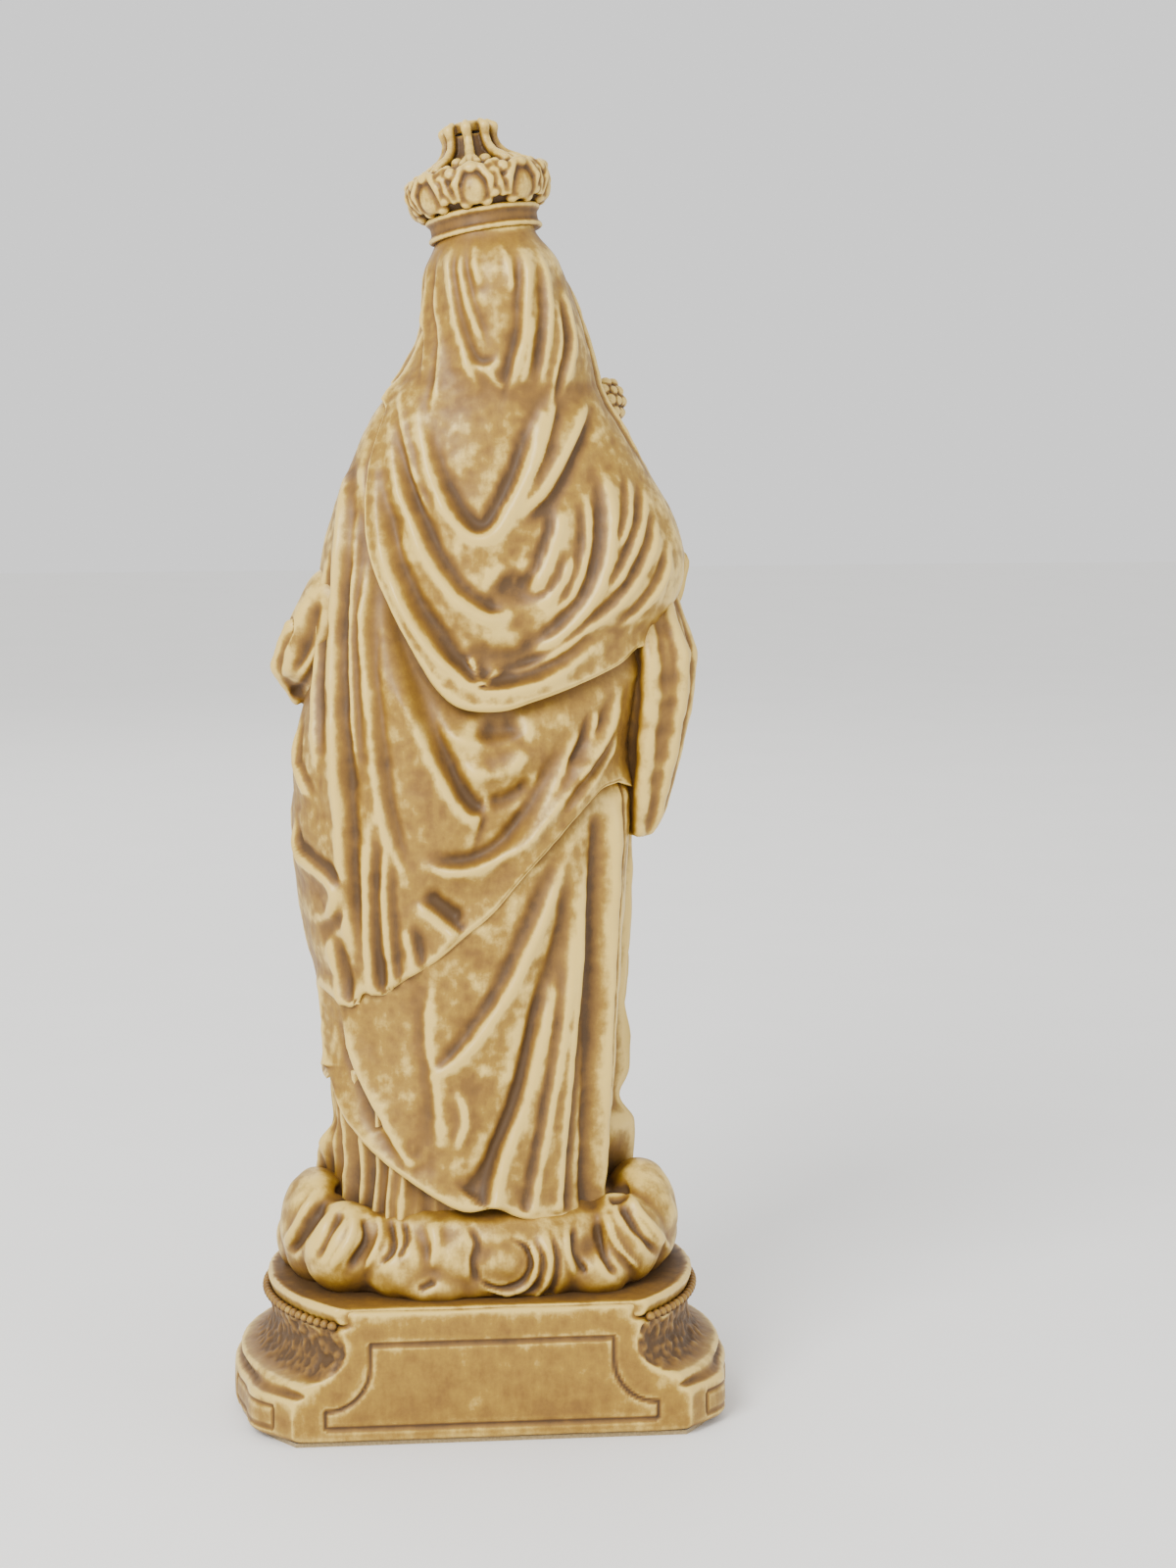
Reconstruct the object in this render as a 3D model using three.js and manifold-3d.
// Crowned Madonna with the Child, standing on a cloud bank over a round, flat-backed plinth.
// Millimetres, +Z up, the figure faces -Y and the flat back of the plinth faces +Y.
// The origin is on the floor, under the middle of the plinth.
import * as THREE from 'three';
import { mergeVertices } from 'three/addons/utils/BufferGeometryUtils.js';
import Module from 'manifold-3d';

const wasm = await Module();
wasm.setup();

// ---------------------------------------------------------------- driving dimensions

const gap = 0.3;              // joint between two castings
const layerGap = 1;           // room between two layers of cloth, which are faceted differently
const feltThickness = 1.5;
const feltInset = 1.5;

const drumRadius = 83.5;      // plinth, lower drum
const backCut = 52;           // flat back, behind the middle of the drum
const footFlare = 1.2;
const footHeight = 5;
const drumHeight = 15.5;
const stepInset = 2.6;
const stepHeight = 3.6;
const coveDepth = 13;         // from the drum in to the deepest place of the cove
const coveHeight = 19.6;
const grooveWidth = 0.9;      // line cut round the panel of the flat back
const grooveDepth = 0.8;
const panelMargin = 10;       // panel, in from the edges of the flat back
const panelFoot = 5;          // panel, up from the felt
const panelRise = 6;          // straight ends of the panel's foot
const backWall = 5;           // wall behind the platform that carries the flat back up

const beadInset = 12.3;       // from the drum in to the middle of the beads round the platform
const platformThickness = 5;
const beadRadius = 1.7;

const cloudInset = 3.2;       // from the middle of the beads in to the cloud bank
const cloudHeight = 26;       // cloud bank, above the platform
const cloudDome = 4;          // how far the bank swells under the gown
const cloudBackInset = 3;

const figureHeight = 333;     // gown foot to crown seat
const footSink = 12;          // gown foot, below the top of the cloud bank
const clothThickness = 2.6;   // each layer of the mantle
const neckRadius = 8.5;
const headWidth = 30;
const headDepth = 37;
const headHeight = 43;
const crownX = -3.6;          // middle of the crown's foot
const headLean = THREE.MathUtils.degToRad(9);    // towards the figure's left
const headBow = THREE.MathUtils.degToRad(8.5);   // forwards

const crownRadius = 17.6;
const bandHeight = 8;
const bandThickness = 2.4;
const wreathHeight = 18;
const wreathFlare = 5.7;
const capHeight = 26;
const collarRadius = 5.6;
const collarHeight = 3.2;

const childHeadRadius = 11.5;
const childTorsoHeight = 49;  // seat to neck
const childLimbRadius = 5.4;
const childHipRadius = 13;
const childChestRadius = 9.5;

const sleeveRadius = 10;
const wristRadius = 5.6;
const palmLength = 17;
const shoeRadius = 6.5;

const rodRadius = 4;
const rodReach = 190;         // rod, above the platform
const nutAcross = 13;
const nutHeight = 6.5;
const washerRadius = 11;
const washerThickness = 2;
const pocketRadius = 14;
const pocketDepth = 13;
const rodClearance = 0.4;
const dowelRadius = 2;
const dowelLength = 22;

// ---------------------------------------------------------------- sizes that follow

const coveRadius = drumRadius - coveDepth;
const platformRadius = drumRadius - beadInset;
const cloudRadius = platformRadius - cloudInset;
const plinthTop = feltThickness + drumHeight + stepHeight + coveHeight;
const platformTop = plinthTop + gap + platformThickness;
const cloudTop = platformTop + gap + cloudHeight;
const figureFoot = cloudTop - footSink;
const crownSeat = figureFoot + figureHeight;

// ---------------------------------------------------------------- the draped body

// Each row is one level of the figure, in percent of its height:
// [level, centre x, half width, back depth, front depth].
const bodyLevels = [
  [-4, 4, 47, 38, 42], [2, 4.3, 46.1, 38, 41], [9, 4.2, 45.8, 37, 39], [17, 1.5, 50.2, 36, 37],
  [25, 1.5, 51.3, 35, 36], [33, 4, 55, 36, 36], [41, 4.7, 56.6, 37, 36], [48, 4.6, 56.4, 37, 36],
  [54, 1, 55.4, 37, 35], [60, -3.4, 56.2, 36, 34], [66, -8.5, 59.7, 35, 33], [70, -8.6, 58.8, 34, 32],
  [74, -8.3, 54, 33, 31], [78, -6.8, 47.8, 31, 28], [82, -6, 41, 29, 25], [86, -7.9, 32.4, 27, 23],
  [90, -9.1, 26.8, 27, 23], [95, -7.2, 23, 26, 23], [100, -4, 18.6, 21, 20],
];
const roundness = 2.25;       // superellipse power of a level's outline
const columns = [1, 2, 3, 4].map(
  (k) => new THREE.SplineCurve(bodyLevels.map((row) => new THREE.Vector2(row[0], row[k]))));

function bodyLevel(percent) {
  const last = bodyLevels.length - 1;
  let i = bodyLevels.findIndex((row) => row[0] > percent);
  i = i < 0 ? last : Math.max(i, 1);
  const [[below], [above]] = [bodyLevels[i - 1], bodyLevels[i]];
  const share = THREE.MathUtils.clamp((percent - below) / (above - below), 0, 1);
  return columns.map((curve) => curve.getPoint((i - 1 + share) / last).y);
}

const heightOf = (percent) => figureFoot + (percent / 100) * figureHeight;

// A point on the figure: angle in degrees from the back, turning towards the figure's own left, which is +X.
function bodyPoint(angle, percent, offset, target = new THREE.Vector3()) {
  const [centreX, halfWidth, back, front] = bodyLevel(percent);
  const a = THREE.MathUtils.degToRad(angle);
  const bulge = (value) => Math.sign(value) * Math.abs(value) ** (2 / roundness);
  const depth = Math.cos(a) > 0 ? back : front;
  return target.set(
    centreX + (halfWidth + offset) * bulge(Math.sin(a)),
    (depth + offset) * bulge(Math.cos(a)),
    heightOf(percent),
  );
}

// ---------------------------------------------------------------- making solids

// Moves every vertex of a three.js geometry and drops what no longer fits it.
function shaped(geometry, move) {
  const position = geometry.getAttribute('position');
  const p = new THREE.Vector3();
  for (let i = 0; i < position.count; i++) {
    move(p.fromBufferAttribute(position, i));
    position.setXYZ(i, p.x, p.y, p.z);
  }
  return geometry;
}

function solidOf(geometry) {
  const bare = geometry.index ? geometry.toNonIndexed() : geometry.clone();
  bare.deleteAttribute('normal');
  bare.deleteAttribute('uv');
  const merged = mergeVertices(bare, 1e-3);
  const vertProperties = merged.attributes.position.array;
  const triVerts = new Uint32Array(merged.index.array);
  const solid = new wasm.Manifold(new wasm.Mesh({ numProp: 3, vertProperties, triVerts }));
  if (solid.volume() > 0) return solid;
  const flipped = triVerts.slice();
  for (let i = 0; i < flipped.length; i += 3) {
    [flipped[i + 1], flipped[i + 2]] = [flipped[i + 2], flipped[i + 1]];
  }
  return new wasm.Manifold(new wasm.Mesh({
    numProp: 3, vertProperties, triVerts: flipped,
  }));
}

function geometryOf(solid) {
  const mesh = solid.getMesh();
  return new THREE.BufferGeometry()
    .setAttribute('position', new THREE.BufferAttribute(mesh.vertProperties.slice(), 3))
    .setIndex(new THREE.BufferAttribute(mesh.triVerts.slice(), 1));
}

// The largest body of a solid: what is left of a casting once its neighbours have cut it.
const mainBody = (solid) => solid.decompose().reduce((a, b) => (a.volume() > b.volume() ? a : b));
const joined = (solids) => solids.reduce((a, b) => a.add(b));
const cutBy = (solid, ...cutters) => mainBody(cutters.reduce((a, b) => a.subtract(b), solid));

function cylinder(radius, bottom, top, x = 0, y = 0, sides = 24) {
  const g = new THREE.CylinderGeometry(radius, radius, top - bottom, sides).rotateX(Math.PI / 2);
  return solidOf(g.translate(x, y, (bottom + top) / 2));
}

// A place some millimetres from another one.
const from = ([x, y, z], right, back, up) => [x + right, y + back, z + up];

function ball(centre, radii, across = 16, up = 10) {
  const g = new THREE.SphereGeometry(1, across, up).rotateX(Math.PI / 2);
  return solidOf(g.scale(...radii).translate(...centre));
}

// A rod with round ends between two points, each end with its own radius.
function limb(start, radiusStart, end, radiusEnd, sides = 12) {
  const a = new THREE.Vector3(...start);
  const b = new THREE.Vector3(...end);
  const along = b.clone().sub(a).normalize();
  const turn = new THREE.Quaternion().setFromUnitVectors(new THREE.Vector3(0, 1, 0), along);
  const g = new THREE.SphereGeometry(1, sides, 8);
  return solidOf(shaped(g, (p) => {
    const atEnd = p.y > -1e-6;
    p.multiplyScalar(atEnd ? radiusEnd : radiusStart).applyQuaternion(turn).add(atEnd ? b : a);
  }));
}

// A closed body between two heights, its wall on the figure at an offset.
function bodySolid(offset, fromPercent, toPercent, sides = 26, levels = 14, narrow = () => 1) {
  const g = new THREE.CylinderGeometry(1, 1, 1, sides, levels);
  return solidOf(shaped(g, (p) => {
    const percent = THREE.MathUtils.lerp(fromPercent, toPercent, p.y + 0.5);
    const reach = Math.hypot(p.x, p.z);
    const angle = THREE.MathUtils.radToDeg(Math.atan2(p.x, p.z));
    const [centreX] = bodyLevel(percent);
    bodyPoint(angle, percent, offset, p);
    const share = reach < 1e-6 ? 0 : narrow(percent);
    p.set(centreX + (p.x - centreX) * share, p.y * share, p.z);
  }));
}

// A sheet of cloth on the figure, between four edges that are lists of [angle, percent].
// Top and bottom run from the figure's left to its right, and left and right run down.
function clothSolid(edges, inner, outer, across = 15, down = 11) {
  const curves = Object.fromEntries(Object.entries(edges).map(
    ([side, points]) => [side, new THREE.SplineCurve(points.map((p) => new THREE.Vector2(...p)))]));
  const place = (a, t) => {
    const top = curves.top.getPoint(a);
    const bottom = curves.bottom.getPoint(a);
    const left = curves.left.getPoint(t);
    const right = curves.right.getPoint(t);
    const across = (curve, k) => (1 - a) * curve.getPoint(0)[k] + a * curve.getPoint(1)[k];
    const corner = (k) => (1 - t) * across(curves.top, k) + t * across(curves.bottom, k);
    const rail = (k) => (1 - t) * top[k] + t * bottom[k] + (1 - a) * left[k] + a * right[k];
    return ['x', 'y'].map((k) => rail(k) - corner(k));
  };
  const g = new THREE.BoxGeometry(1, 1, 1, across, down, 1);
  return solidOf(shaped(g, (p) => {
    const [angle, percent] = place(p.x + 0.5, 0.5 - p.y);
    bodyPoint(angle, percent, p.z > 0 ? outer : inner, p);
  }));
}

// ---------------------------------------------------------------- plinth, platform and clouds

const toVectors = (points) => points.map((p) => new THREE.Vector2(...p));
const lathe = (points, sides = 24) => new THREE.LatheGeometry(toVectors(points), sides);
const turned = (points, sides) => solidOf(lathe(points, sides).rotateX(Math.PI / 2));
const discProfile = (radius, bottom, top) => [[0, bottom], [radius, bottom], [radius, top], [0, top]];
const disc = (radius, bottom, top, sides = 48) => turned(discProfile(radius, bottom, top), sides);

// Cuts a round solid off flat, a distance behind the middle.
function flatBacked(solid, distance) {
  const size = 4 * drumRadius;
  const box = new THREE.BoxGeometry(size, size, size);
  return solid.subtract(solidOf(box.translate(0, distance + size / 2, 0)));
}

const halfChord = (radius) => Math.sqrt(radius ** 2 - backCut ** 2);

// Outline of the panel on the flat back: a narrow head, hollow shoulders and a wide foot.
function panelShape(inset) {
  const foot = feltThickness + panelFoot + inset;
  const shoulder = foot + panelRise - 2 * inset;
  const head = platformTop - panelMargin - inset;
  const halfFoot = halfChord(drumRadius) - panelMargin - inset;
  const halfHead = halfChord(coveRadius) - 0.8 * panelMargin - inset;
  const shape = new THREE.Shape();
  shape.moveTo(-halfFoot, foot);
  shape.lineTo(halfFoot, foot);
  shape.lineTo(halfFoot, shoulder);
  shape.quadraticCurveTo(halfHead, shoulder + 2, halfHead, (shoulder + head) / 2 + 2);
  shape.lineTo(halfHead, head);
  shape.lineTo(-halfHead, head);
  shape.lineTo(-halfHead, (shoulder + head) / 2 + 2);
  shape.quadraticCurveTo(-halfHead, shoulder + 2, -halfFoot, shoulder);
  shape.closePath();
  return shape;
}
function panelGroove() {
  const line = panelShape(0);
  line.holes.push(panelShape(grooveWidth));
  const sizes = { depth: 2 * grooveDepth, bevelEnabled: false, curveSegments: 6 };
  const g = new THREE.ExtrudeGeometry(line, sizes);
  return solidOf(g.rotateX(Math.PI / 2).translate(0, backCut + grooveDepth, 0));
}

const rodHole = (top) => cylinder(rodRadius + rodClearance, 0, top);

function plinthSolid() {
  const floor = feltThickness + gap;
  const drumTop = feltThickness + drumHeight;
  const stepTop = drumTop + stepHeight;
  const stepRadius = drumRadius - stepInset;
  const lip = 2.5;
  const body = turned([
    [0, floor], [drumRadius + footFlare, floor], [drumRadius, floor + footHeight], [drumRadius, drumTop],
    [stepRadius, drumTop + 0.8], [stepRadius, stepTop], [stepRadius - lip, stepTop + 0.6],
    [coveRadius + 3, stepTop + 0.17 * coveHeight], [coveRadius + 0.6, stepTop + 0.33 * coveHeight],
    [coveRadius, stepTop + 0.55 * coveHeight], [coveRadius + 0.8, stepTop + 0.8 * coveHeight],
    [platformRadius, plinthTop - 1], [platformRadius, plinthTop], [0, plinthTop],
  ], 48);
  const wall = disc(platformRadius, plinthTop - 1, platformTop)
    .subtract(flatBacked(disc(2 * platformRadius, plinthTop, platformTop + 1), backCut - backWall));
  return flatBacked(body.add(wall), backCut)
    .subtract(panelGroove())
    .subtract(cylinder(pocketRadius, 0, feltThickness + pocketDepth))
    .subtract(rodHole(platformTop));
}

function platformSolid() {
  const slab = disc(platformRadius - beadRadius - gap, plinthTop + gap, platformTop);
  return flatBacked(slab, backCut - backWall - gap).subtract(rodHole(platformTop + 1));
}

// The bead string: a rope of round section round the platform's edge, from one back corner to the other.
function beadPath(radius) {
  const z = plinthTop + gap + platformThickness / 2;
  const end = Math.asin((backCut - backWall - 2 * beadRadius) / platformRadius);
  const steps = 24;
  const points = Array.from({ length: steps + 1 }, (_, i) => {
    const a = THREE.MathUtils.lerp(end, -Math.PI - end, i / steps);
    return new THREE.Vector3(platformRadius * Math.cos(a), platformRadius * Math.sin(a), z);
  });
  const section = new THREE.Shape().absarc(0, 0, radius, 0, 2 * Math.PI, false);
  const path = new THREE.CatmullRomCurve3(points);
  return solidOf(new THREE.ExtrudeGeometry(
    section, { steps: 36, curveSegments: 4, extrudePath: path, bevelEnabled: false }));
}

function cloudSolid() {
  const lobes = 7;
  const g = new THREE.CylinderGeometry(1, 1, 1, 5 * lobes, 4);
  const cut = backCut - backWall - cloudBackInset;
  return solidOf(shaped(g, (p) => {
    const level = p.y + 0.5;
    const reach = Math.hypot(p.x, p.z);
    const a = Math.atan2(p.x, -p.z);
    const swell = 1 + 0.03 * Math.cos(lobes * a) * Math.sin(level * Math.PI);
    const r = reach * cloudRadius * swell * (1 - 0.22 * level ** 4);
    const dome = level > 0.99 ? cloudDome * (1 - reach) : 0;
    p.set(r * Math.sin(a), Math.min(-r * Math.cos(a), cut), platformTop + gap + level * cloudHeight + dome);
  }));
}

// ---------------------------------------------------------------- cloth edges on the figure

const hoodEdges = {
  top: [[118, 99.6], [60, 100], [0, 100], [-60, 100], [-118, 99.6]],
  left: [[118, 99.6], [122, 94], [118, 88], [78, 84], [66, 81]],
  right: [[-118, 99.6], [-122, 94], [-120, 86], [-128, 76], [-118, 68]],
  bottom: [[66, 81], [42, 72], [20, 60], [-2, 54], [-24, 57], [-52, 63], [-90, 68], [-118, 68]],
};
const capeEdges = {
  top: [[142, 80], [100, 82], [60, 78], [22, 65], [-4, 60], [-40, 64], [-82, 66]],
  left: [[142, 80], [140, 66], [132, 50], [118, 38], [98, 29]],
  right: [[-82, 66], [-72, 60], [-62, 55]],
  bottom: [[98, 29], [68, 24], [48, 22], [30, 25], [2, 31], [-24, 38], [-42, 46], [-62, 55]],
};
const trainEdges = {
  top: [[96, 36], [60, 34], [30, 36], [0, 42], [-30, 50], [-60, 58]],
  left: [[96, 36], [92, 24], [80, 15], [64, 9]],
  right: [[-60, 58], [-62, 40], [-60, 20], [-62, 4]],
  bottom: [[64, 9], [40, 6], [12, 3], [-20, 1.5], [-45, 2], [-62, 4]],
};
const armFallEdges = {
  top: [[-58, 66], [-82, 68], [-108, 66]],
  left: [[-58, 66], [-57, 54], [-56, 41]],
  right: [[-108, 66], [-112, 56], [-106, 44]],
  bottom: [[-56, 41], [-80, 39], [-106, 44]],
};
const apronEdges = {
  top: [[150, 63], [180, 58], [215, 56], [240, 54]],
  left: [[150, 63], [136, 50], [124, 38], [118, 27]],
  right: [[240, 54], [236, 44], [228, 36]],
  bottom: [[118, 27], [140, 21], [170, 22], [200, 28], [228, 36]],
};

// Layers of cloth, from the gown outwards.
const pitch = clothThickness + layerGap;
const layerOf = (n) => [-(3 - n) * pitch, -(3 - n) * pitch + clothThickness];
const gownOffset = -3 * pitch - layerGap;

// ---------------------------------------------------------------- the figure

const neckPercent = 84;
const neckFrom = 74;
function gownSolid() {
  const narrow = (percent) => {
    const share = THREE.MathUtils.smoothstep(percent, neckFrom, neckPercent);
    const [, halfWidth] = bodyLevel(percent);
    return THREE.MathUtils.lerp(1, (neckRadius + 3) / (halfWidth + gownOffset), share);
  };
  const body = bodySolid(gownOffset, 0, neckPercent, 26, 14, narrow);
  return body.subtract(rodHole(platformTop + rodReach + gap));
}

const headCentre = [crownX - 1.5, -4, crownSeat - 0.43 * headHeight];
const neckFoot = [bodyLevel(neckPercent)[0], -1, heightOf(neckPercent)];
function headSolid() {
  const skull = ball(headCentre, [headWidth / 2, headDepth / 2, headHeight / 2], 20, 14);
  const nose = ball(from(headCentre, 0, -headDepth / 2, -headHeight * 0.06), [2.6, 3.2, 5], 8, 6);
  const neck = limb(from(neckFoot, 0, 0, -2), neckRadius, from(headCentre, 0, 3, -8), neckRadius);
  const floor = cylinder(headHeight, neckFoot[2] - headHeight, neckFoot[2] + gap);
  const holes = [dowelHole(headDowelFoot), dowelHole(crownDowelFoot)];
  return cutBy(joined([skull, nose, neck]), floor, crownRoom(), ...holes);
}

// Dowels stand in holes of their own size and the joint's gap.
const headDowelFoot = [neckFoot[0], neckFoot[1], neckFoot[2] - dowelLength / 2];
const crownDowelFoot = [crownX, 0, crownSeat - dowelLength / 2];
const crownRoom = () => solidOf(onHead(lathe(discProfile(headWidth, -gap, headHeight))));
const dowel = ([x, y, z]) => cylinder(dowelRadius, z, z + dowelLength, x, y, 12);
const dowelHole = ([x, y, z]) => cylinder(dowelRadius + gap, z - gap, z + dowelLength + gap, x, y, 12);

// The outside of the hood and a joint's room, to cut off what stands against the figure.
const facetRoom = 0.4;
const outerBody = () => bodySolid(layerOf(2)[1] + gap + facetRoom, 40, 85, 22, 7);

const leftShoulder = [48, 4, heightOf(65)];
const leftElbow = [56, 0, heightOf(56)];
const leftWrist = [32, -52, heightOf(62)];
function leftSleeveSolid() {
  const arm = joined([
    limb(leftShoulder, sleeveRadius - 1, leftElbow, sleeveRadius),
    limb(leftElbow, sleeveRadius, leftWrist, sleeveRadius * 0.85),
  ]);
  return cutBy(arm, outerBody(), leftHandCutter());
}
const leftPalm = [leftWrist[0] - 0.85 * palmLength, leftWrist[1] - 0.45 * palmLength, leftWrist[2] + 5];
const handOf = (wrist, palm, grow = 0) => joined([
  limb(wrist, wristRadius + grow, palm, wristRadius * 0.75 + grow),
  ball(palm, [wristRadius * 1.15 + grow, wristRadius * 0.9 + grow, wristRadius * 0.7 + grow], 14, 10),
]);
const leftHandCutter = () => handOf(leftWrist, leftPalm, gap);
const leftHandSolid = () => handOf(leftWrist, leftPalm);

const rightElbow = [-58, -22, heightOf(57.5)];
const rightWrist = [-40, -54, heightOf(58)];
const rightPalm = from(rightWrist, 0.95 * palmLength, -2, 8);
const rightSleeve = (grow = 0) => {
  const [elbowRadius, wristRadius] = [sleeveRadius - 1, sleeveRadius * 0.8];
  return limb(rightElbow, elbowRadius + grow, rightWrist, wristRadius + grow);
};
const rightHandRoom = () => handOf(rightWrist, rightPalm, gap);
const rightSleeveSolid = () => cutBy(rightSleeve(), outerBody(), armFall(gap), rightHandRoom());
const rightHandSolid = () => handOf(rightWrist, rightPalm);
const armFallInside = layerOf(3)[0];
const armFallOutside = armFallInside + 2 * clothThickness;
const armFall = (grow = 0) => clothSolid(armFallEdges, armFallInside - grow, armFallOutside + grow, 8, 8);

// ---------------------------------------------------------------- the Child, on the right forearm

const childSeat = [-41, -37, heightOf(64)];
const childNeck = from(childSeat, -3, 4, childTorsoHeight);
const childHeadCentre = from(childNeck, 1, -3, childHeadRadius * 0.9);
const childHips = [from(childSeat, 5, -4, 0), from(childSeat, -4, -4, 0)];
const childKnees = [from(childSeat, 14, -20, 2), from(childSeat, -5, -23, 1)];
const childFeet = [from(childSeat, 16, -25, -22), from(childSeat, -3, -28, -24)];
const childShoulders = [from(childNeck, 10, -2, -6), from(childNeck, -9, -3, -6)];
const childHands = [from(childNeck, 25, -20, -10), from(childNeck, -8, -30, 2)];

function childBodySolid() {
  const torso = limb(from(childSeat, 0, 0, 3), childHipRadius, from(childNeck, 0, 0, -9), childChestRadius);
  const legs = childKnees.flatMap((knee, i) => [
    limb(childHips[i], childLimbRadius * 1.45, knee, childLimbRadius * 1.2),
    limb(knee, childLimbRadius * 1.2, childFeet[i], childLimbRadius * 0.8),
  ]);
  const mother = [outerBody(), rightSleeve(gap), armFall(gap), rightHandRoom()];
  return cutBy(joined([torso, ...legs]), ...mother, ...childArms(gap), childHeadSolid(gap));
}
const childArms = (grow = 0) => childShoulders.map(
  (shoulder, i) => limb(shoulder, childLimbRadius + grow, childHands[i], childLimbRadius * 0.6 + grow));
const childHeadSolid = (grow = 0) => ball(
  childHeadCentre, [0.92, 1, 1.1].map((share) => share * childHeadRadius + grow));

// ---------------------------------------------------------------- crown

// Places a piece of the crown on the head, which leans to the side and bows forwards.
function onHead(geometry) {
  return geometry.rotateX(Math.PI / 2).rotateX(headBow).rotateY(headLean).translate(crownX, 0, crownSeat);
}

function bandSolid() {
  const inner = crownRadius - bandThickness;
  const fillet = 0.8;
  return solidOf(onHead(lathe([
    [inner, 0], [crownRadius, 0], [crownRadius + fillet, bandHeight * 0.15], [crownRadius, bandHeight * 0.3],
    [crownRadius, bandHeight * 0.75], [crownRadius + fillet, bandHeight * 0.9], [crownRadius, bandHeight],
    [inner, bandHeight], [inner, 0],
  ])));
}
function wreathSolid() {
  const leaves = 8;
  const foot = bandHeight + gap;
  const inner = crownRadius - bandThickness;
  const g = lathe([
    [inner, foot],
    [crownRadius, foot],
    [crownRadius + wreathFlare * 0.7, foot + wreathHeight * 0.45],
    [crownRadius + wreathFlare, foot + wreathHeight * 0.75],
    [inner + wreathFlare * 0.55, foot + wreathHeight * 0.95],
    [inner + 1, foot + wreathHeight * 0.5],
    [inner, foot],
  ], 6 * leaves);
  return solidOf(onHead(shaped(g, (p) => {
    const rise = (p.y - foot) / wreathHeight;
    const notch = 1 - 0.32 * Math.max(0, rise) * (0.5 - 0.5 * Math.cos(leaves * Math.atan2(p.x, p.z)));
    p.y = foot + (p.y - foot) * notch;
  })));
}
function capSolid() {
  const r = crownRadius - bandThickness - gap;
  const g = lathe([
    [0, 0],
    [r, 0],
    [r, bandHeight],
    [r * 0.86, bandHeight + capHeight * 0.3],
    [r * 0.6, bandHeight + capHeight * 0.55],
    [collarRadius, bandHeight + capHeight * 0.8],
    [collarRadius, bandHeight + capHeight],
    [0, bandHeight + capHeight],
  ]);
  return solidOf(onHead(g)).subtract(dowelHole(crownDowelFoot));
}
function collarSolid() {
  const foot = bandHeight + capHeight + gap;
  const waist = 0.8 * collarRadius;
  return solidOf(onHead(lathe([
    [0, foot],
    [waist, foot],
    [collarRadius, foot + collarHeight / 2],
    [waist, foot + collarHeight],
    [0, foot + collarHeight],
  ], 16)));
}

// ---------------------------------------------------------------- ironwork under the plinth

function nutSolid() {
  const corner = nutAcross / Math.sqrt(3);
  const g = new THREE.CylinderGeometry(corner, corner, nutHeight, 6).rotateX(Math.PI / 2);
  const top = feltThickness + pocketDepth - gap - washerThickness - gap;
  const bore = cylinder(rodRadius + gap / 2, 0, plinthTop);
  return solidOf(g.translate(0, 0, top - nutHeight / 2)).subtract(bore);
}
function washerSolid() {
  const top = feltThickness + pocketDepth - gap;
  const bore = cylinder(rodRadius + gap / 2, 0, plinthTop);
  return cylinder(washerRadius, top - washerThickness, top).subtract(bore);
}

// ---------------------------------------------------------------- the assembly

const castStone = { color: 0xcfb27c, roughness: 0.55, metalness: 0 };
const looks = {
  cast: new THREE.MeshStandardMaterial(castStone),
  base: new THREE.MeshStandardMaterial({ ...castStone, color: 0xc2a35e }),
  steel: new THREE.MeshStandardMaterial({ color: 0x9a9a98, roughness: 0.35, metalness: 1 }),
  beech: new THREE.MeshStandardMaterial({ color: 0xc79b66, roughness: 0.7, metalness: 0 }),
  felt: new THREE.MeshStandardMaterial({ color: 0x2f4a35, roughness: 0.95, metalness: 0 }),
};

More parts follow.
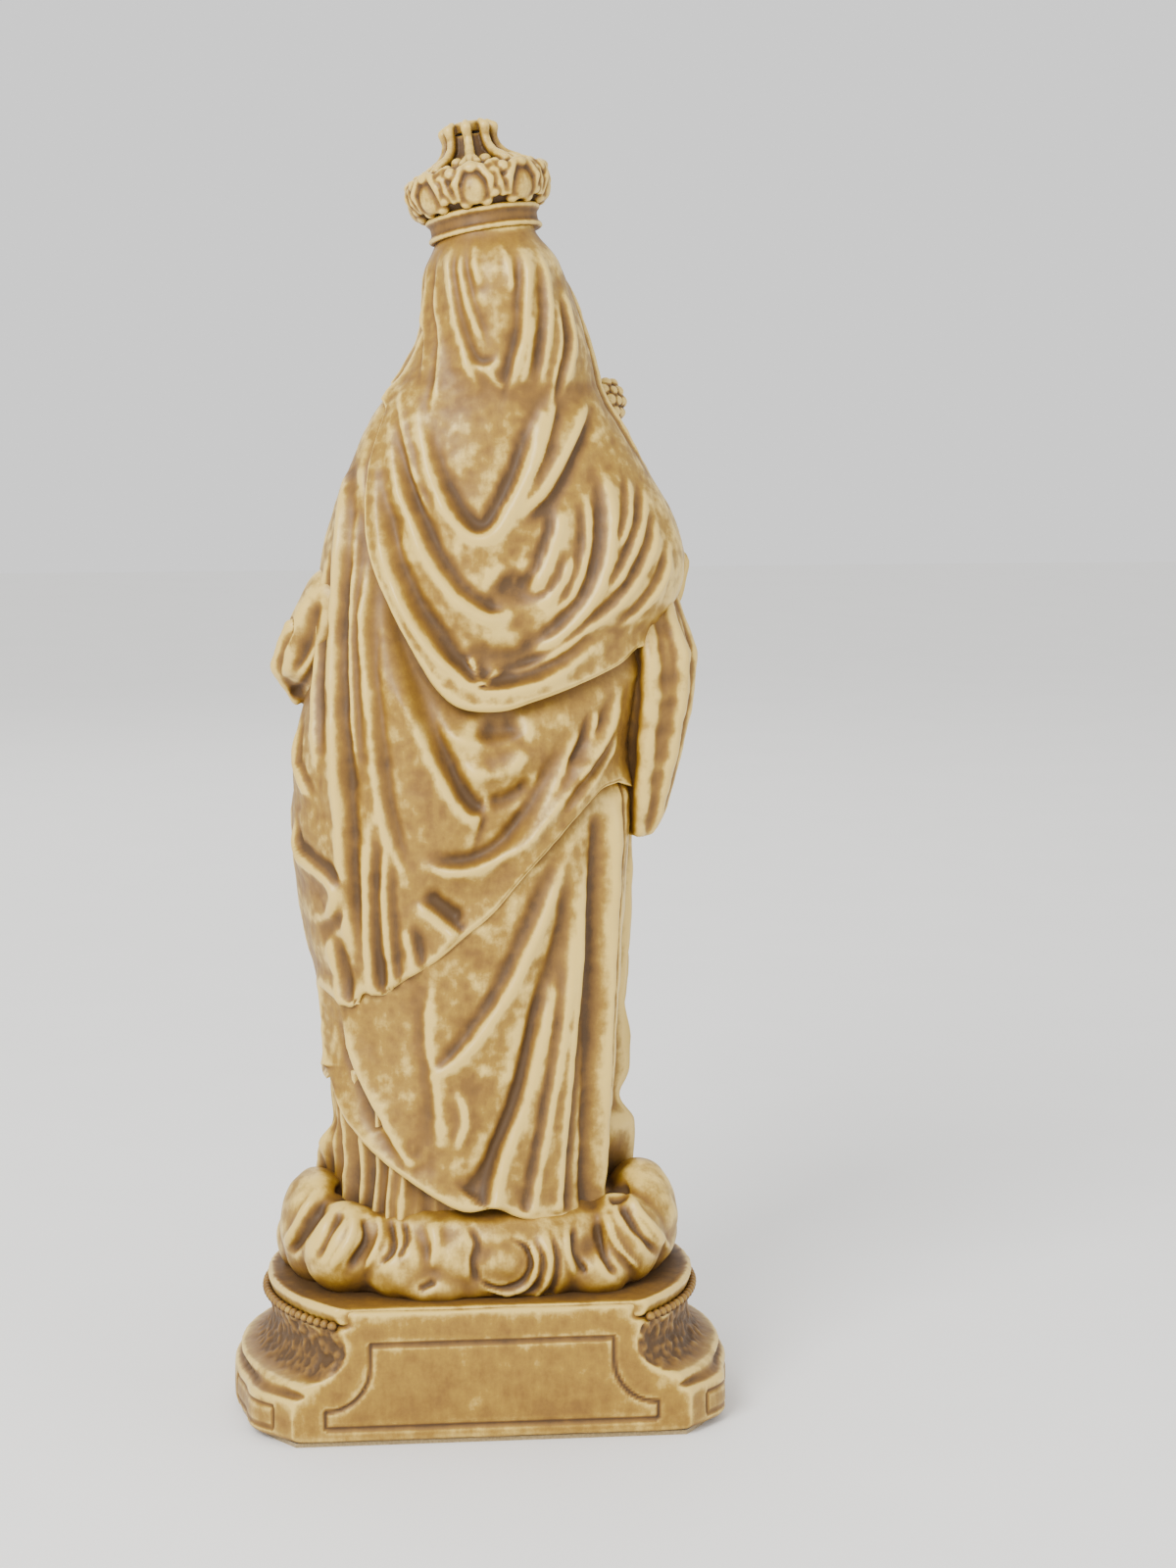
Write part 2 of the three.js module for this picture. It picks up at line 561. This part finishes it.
const statue = new THREE.Group();
function add(name, solid, look = 'cast') {
  const mesh = new THREE.Mesh(geometryOf(solid), looks[look]);
  mesh.name = name;
  statue.add(mesh);
}

add('felt_pad', flatBacked(disc(drumRadius - feltInset, 0, feltThickness), backCut - feltInset), 'felt');
add('plinth', plinthSolid(), 'base');
add('platform', platformSolid(), 'base');
add('bead_moulding', beadPath(beadRadius), 'base');

const seatPercent = -100 * gap / figureHeight;
const footPocket = bodySolid(layerOf(0)[1] + gap, seatPercent, 12, 26, 3);
const shoePair = (grow = 0) => [-1, 1].map((side) => {
  const heel = [side * 13, -30, cloudTop + 2];
  const toe = [side * 15, -46, cloudTop + 1];
  return limb(heel, shoeRadius + grow, toe, shoeRadius * 0.8 + grow);
});
const shoes = shoePair();
const shoeCutters = shoePair(gap);
add('cloud_bank', cutBy(cloudSolid(), footPocket, ...shoeCutters, rodHole(cloudTop + 20)));

add('gown', cutBy(gownSolid(), ...shoeCutters, dowelHole(headDowelFoot)));
['shoe_right', 'shoe_left'].forEach((name, i) => add(name, shoes[i]));
add('mantle_train', clothSolid(trainEdges, ...layerOf(0)));
add('mantle_apron', clothSolid(apronEdges, ...layerOf(0), 14, 10));
add('mantle_cape', clothSolid(capeEdges, ...layerOf(1), 18, 12));
add('hood', cutBy(clothSolid(hoodEdges, ...layerOf(2), 20, 12), crownRoom()));
add('arm_fall', armFall());
add('head', headSolid());
add('head_dowel', dowel(headDowelFoot), 'beech');

add('sleeve_left', leftSleeveSolid());
add('hand_left', leftHandSolid());
add('sleeve_right', rightSleeveSolid());
add('hand_right', rightHandSolid());

add('child_body', childBodySolid());
['child_arm_left', 'child_arm_right'].forEach((name, i) => add(name, childArms()[i]));
add('child_head', childHeadSolid());

add('crown_band', bandSolid());
add('crown_wreath', wreathSolid());
add('crown_cap', capSolid());
add('crown_collar', collarSolid());
add('crown_dowel', dowel(crownDowelFoot), 'beech');

add('rod', cylinder(rodRadius, feltThickness + 1, platformTop + rodReach), 'steel');
add('rod_washer', washerSolid(), 'steel');
add('rod_nut', nutSolid(), 'steel');

export default statue;
